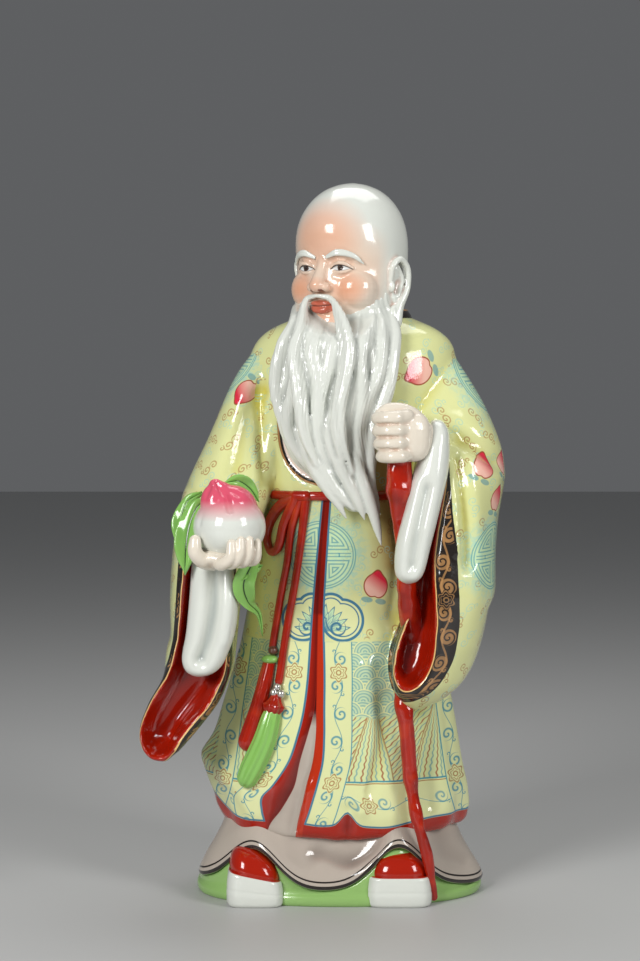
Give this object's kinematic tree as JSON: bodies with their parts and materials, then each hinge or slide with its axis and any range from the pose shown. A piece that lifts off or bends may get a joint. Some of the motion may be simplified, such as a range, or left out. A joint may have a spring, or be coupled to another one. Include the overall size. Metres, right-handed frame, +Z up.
{
  "type": "shou lao figure",
  "caption": "Standing glazed porcelain figure of a bearded elder with a tall bald head, long robe, a peach in one hand and a gnarled staff in the other.",
  "frame": {"origin": "centre of the flat underside of the base", "axes": "+Z up the figure, -Y the way it faces, +X to the right of someone who looks at its front"},
  "size_m": [0.2317, 0.171, 0.45],
  "materials": {
    "yellow_enamel": "glossy",
    "white_glaze": "glossy",
    "red_enamel": "glossy",
    "green_enamel": "glossy",
    "grey_enamel": "glossy",
    "peach_enamel": "glossy"
  },
  "bodies": {
    "root": {"figure": "yellow_enamel"}
  },
  "joints": []
}
